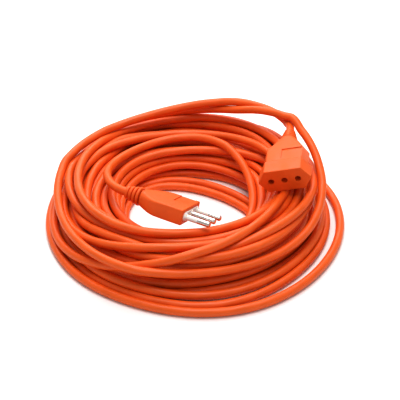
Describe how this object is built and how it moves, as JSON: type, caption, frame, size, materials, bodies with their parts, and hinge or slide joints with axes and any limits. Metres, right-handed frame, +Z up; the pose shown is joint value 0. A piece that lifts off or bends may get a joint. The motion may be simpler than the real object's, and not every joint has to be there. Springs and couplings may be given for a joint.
{
  "type": "extension cord",
  "caption": "Orange mains extension cord wound in a loose round coil, with a moulded in-line plug with round pins in a row and a hexagonal in-line socket.",
  "frame": {"origin": "middle of the heap of turns, on the surface it lies on", "axes": "+Z up out of the heap; the plug and the socket lie on top, the plug's pins point roughly to +X and the socket's face looks to -Y"},
  "size_m": [0.218, 0.219, 0.055],
  "materials": {
    "cord_jacket": "smooth extruded PVC, satin",
    "orange_moulding": "soft moulded PVC, satin",
    "white_plastic": "satin",
    "nickel_plate": "bright nickel plate",
    "contact_brass": "plain",
    "copper_strands": "bare copper",
    "brown_core": "smooth PVC",
    "blue_core": "smooth PVC",
    "earth_core": "smooth PVC"
  },
  "bodies": {
    "root": {"cord_coil": "cord_jacket", "plug_lead": "cord_jacket", "socket_lead": "cord_jacket", "loose_outer_turn": "cord_jacket", "loose_inner_turn": "cord_jacket", "plug_body": "orange_moulding", "plug_strain_relief": "orange_moulding", "plug_pin_carrier": "white_plastic", "plug_line_pin": "nickel_plate", "plug_neutral_pin": "nickel_plate", "plug_earth_pin": "nickel_plate", "plug_line_sleeve": "white_plastic", "plug_neutral_sleeve": "white_plastic", "plug_line_core": "brown_core", "plug_neutral_core": "blue_core", "plug_earth_core": "earth_core", "plug_copper_ends": "copper_strands", "socket_body": "orange_moulding", "socket_strain_relief": "orange_moulding", "socket_contact_carrier": "white_plastic", "socket_line_contact": "contact_brass", "socket_neutral_contact": "contact_brass", "socket_earth_contact": "contact_brass", "socket_line_core": "brown_core", "socket_neutral_core": "blue_core", "socket_earth_core": "earth_core", "socket_copper_ends": "copper_strands"}
  },
  "joints": []
}
